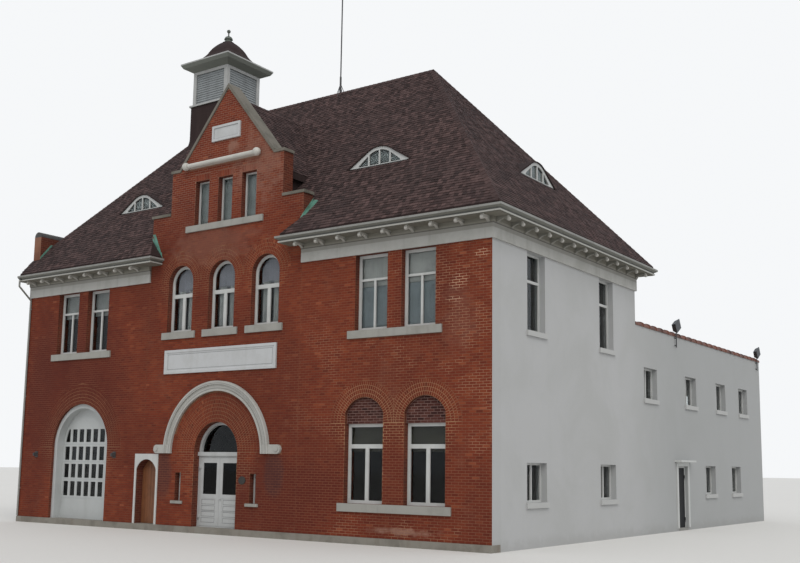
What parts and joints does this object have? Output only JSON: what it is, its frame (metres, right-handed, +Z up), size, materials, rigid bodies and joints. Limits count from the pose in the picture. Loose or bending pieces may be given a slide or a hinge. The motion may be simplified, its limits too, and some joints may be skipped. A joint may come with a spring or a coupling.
{
  "type": "town hall building",
  "caption": "Two-storey brick town hall with a stepped gable, arched openings, hipped roof, cupola and a stuccoed rear wing; its entrance doors and side door swing.",
  "frame": {"origin": "on the ground under the middle of the main block, on the underside of its floor slab", "axes": "+X right along the brick front as seen from outside, +Y back from the front, +Z up"},
  "size_m": [20.87, 25.18, 19.7256],
  "materials": {
    "base_stone": "stained stone",
    "brick": "weathered red brick",
    "clay_tile": "unglazed clay",
    "concrete": "plain",
    "coping_stone": "lichened stone",
    "copper": "green patina",
    "cupola_paint": "grey paint",
    "dark_door": "dark paint",
    "door_paint": "white finish",
    "floor_timber": "boarded floor on joists",
    "garage_paint": "white paint",
    "hinge_steel": "satin",
    "lamp_metal": "black paint",
    "membrane": "flat roof covering",
    "pale_trim": "painted timber",
    "shingle": "dark asphalt shingles",
    "sill_stone": "weathered pale stone",
    "stucco": "painted render",
    "window_paint": "white paint",
    "window_pane": "clear glazing"
  },
  "bodies": {
    "root": {"arch_infill": "brick", "attic_floor": "floor_timber", "cupola_base": "shingle", "cupola_body": "cupola_paint", "cupola_roof": "shingle", "cupola_trim": "pale_trim", "date_panel": "window_paint", "door_hinges": "hinge_steel", "dormer_frames": "window_paint", "eave_box": "pale_trim", "eave_brackets": "pale_trim", "entrance_frame": "door_paint", "eyebrow_dormers": "shingle", "finial": "pale_trim", "flashing": "copper", "frieze": "pale_trim", "front_gable": "brick", "front_wall_left": "brick", "front_wall_over_entrance": "brick", "front_wall_right": "brick", "front_window_frames": "window_paint", "gable_coping": "coping_stone", "gable_roof": "shingle", "garage_door": "garage_paint", "garage_liner": "garage_paint", "ground_floor": "concrete", "gutter": "pale_trim", "hood_mould": "sill_stone", "main_roof": "shingle", "main_roof_hips": "shingle", "main_roof_rear": "shingle", "name_board": "window_paint", "niche_surround": "window_paint", "parapet_coping": "coping_stone", "party_parapet": "brick", "party_wall": "stucco", "rear_wall": "stucco", "right_wall": "stucco", "roll_moulding": "sill_stone", "roof_mast": "lamp_metal", "shoulder_copings": "coping_stone", "side_door_frame": "window_paint", "side_threshold": "concrete", "side_window_frames": "window_paint", "stone_base": "base_stone", "stone_sills": "sill_stone", "upper_floor": "floor_timber", "wall_lamps": "lamp_metal", "window_glass": "window_pane", "wing_coping": "clay_tile", "wing_rear_wall": "stucco", "wing_roof": "membrane", "wing_side_walls": "stucco", "wing_upper_floor": "floor_timber", "wing_wall_over_door": "stucco"},
    "entrance_left_leaf": {"entrance_left_leaf": "door_paint", "entrance_left_glass": "window_pane"},
    "entrance_right_leaf": {"entrance_right_leaf": "door_paint", "entrance_right_glass": "window_pane"},
    "side_door_leaf": {"side_door_leaf": "dark_door"}
  },
  "joints": [
    {"name": "entrance_left_hinge", "type": "hinge", "parent": "root", "child": "entrance_left_leaf", "pos_m": [-0.862, -4.699, 1.2], "axis": [0, 0, -1], "range_deg": [0, 90]},
    {"name": "entrance_right_hinge", "type": "hinge", "parent": "root", "child": "entrance_right_leaf", "pos_m": [0.862, -4.699, 1.2], "axis": [0, 0, 1], "range_deg": [0, 90]},
    {"name": "side_door_hinge", "type": "hinge", "parent": "root", "child": "side_door_leaf", "pos_m": [10.014, 9.672, 1.2], "axis": [0, 0, 1], "range_deg": [0, 90]}
  ]
}
